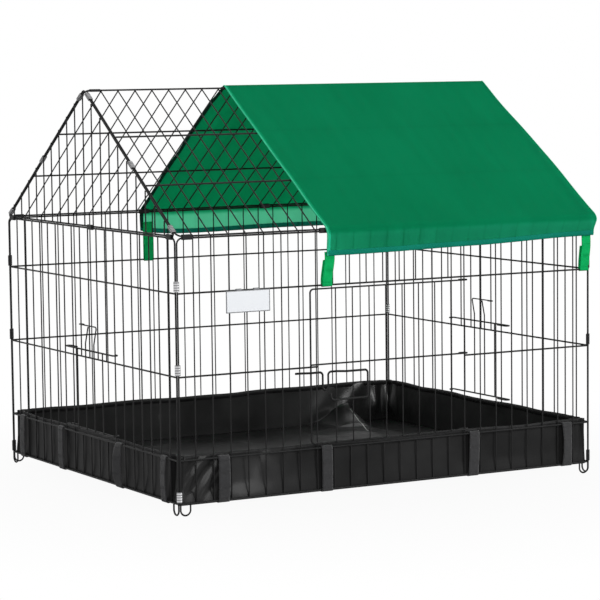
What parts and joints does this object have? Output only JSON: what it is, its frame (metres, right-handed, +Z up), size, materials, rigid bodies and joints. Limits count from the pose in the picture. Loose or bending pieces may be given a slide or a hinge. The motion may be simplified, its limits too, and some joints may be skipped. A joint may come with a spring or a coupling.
{
  "type": "small animal cage",
  "caption": "Wire cage with a gabled roof under a fabric cover, a strapped-in vinyl floor tray, a hinged front door with a slide bolt, and lifting end doors, for keeping small animals.",
  "frame": {"origin": "on the floor under the middle of the wire walls' plan", "axes": "+X to the right along the long front wall, -Y out of the front wall with the large door, +Z up"},
  "size_m": [1.02, 0.8586, 0.8526],
  "materials": {
    "black_wire": "satin black powder coat on welded steel wire",
    "bare_clip": "bright zinc-plated sheet steel",
    "black_sleeve": "satin black coated sheet steel",
    "black_vinyl": "soft black vinyl with a low sheen and creases",
    "black_webbing": "matt woven black webbing",
    "green_fabric": "green woven cloth, bound at the edges",
    "green_strap": "bright green woven tape",
    "white_plate": "smooth white, left bare"
  },
  "bodies": {
    "cage": {"front_wall_frame": "black_wire", "front_wall_wires": "black_wire", "back_wall_frame": "black_wire", "back_wall_wires": "black_wire", "left_wall_frame": "black_wire", "left_wall_wires": "black_wire", "right_wall_frame": "black_wire", "right_wall_wires": "black_wire", "left_gable_frame": "black_wire", "left_gable_wires": "black_wire", "right_gable_frame": "black_wire", "right_gable_wires": "black_wire", "front_roof_frame": "black_wire", "front_roof_wires": "black_wire", "back_roof_frame": "black_wire", "back_roof_wires": "black_wire", "front_left_clips": "bare_clip", "back_right_clips": "bare_clip", "left_gable_clips": "bare_clip", "right_gable_clips": "bare_clip", "back_left_sleeves": "black_sleeve", "front_right_sleeves": "black_sleeve", "front_eave_sleeves": "black_sleeve", "back_eave_sleeves": "black_sleeve", "ridge_sleeves": "black_sleeve", "left_base_sleeves": "black_sleeve", "right_base_sleeves": "black_sleeve", "floor_liner": "black_vinyl", "front_liner_straps": "black_webbing", "back_liner_straps": "black_webbing", "left_liner_straps": "black_webbing", "right_liner_straps": "black_webbing", "roof_cover": "green_fabric", "front_cover_tapes": "green_strap", "back_cover_tapes": "green_strap", "blank_plate": "white_plate"},
    "front_door": {"front_door_frame": "black_wire", "front_door_wires": "black_wire"},
    "bolt": {"front_door_bolt": "black_wire"},
    "left_door": {"left_door_bars": "black_wire", "left_door_wires": "black_wire"},
    "right_door": {"right_door_bars": "black_wire", "right_door_wires": "black_wire"}
  },
  "joints": [
    {"name": "front_door_hinge", "type": "hinge", "parent": "cage", "child": "front_door", "pos_m": [0.18, -0.41715, 0.28], "axis": [0, 0, 1], "range_deg": [0, 150]},
    {"name": "bolt_slide", "type": "slide", "parent": "front_door", "child": "bolt", "axis": [1, 0, 0], "range_m": [0, 0.013]},
    {"name": "left_door_lift", "type": "slide", "parent": "cage", "child": "left_door", "axis": [0, 0, 1], "range_m": [0, 0.09]},
    {"name": "right_door_lift", "type": "slide", "parent": "cage", "child": "right_door", "axis": [0, 0, 1], "range_m": [0, 0.09]}
  ]
}
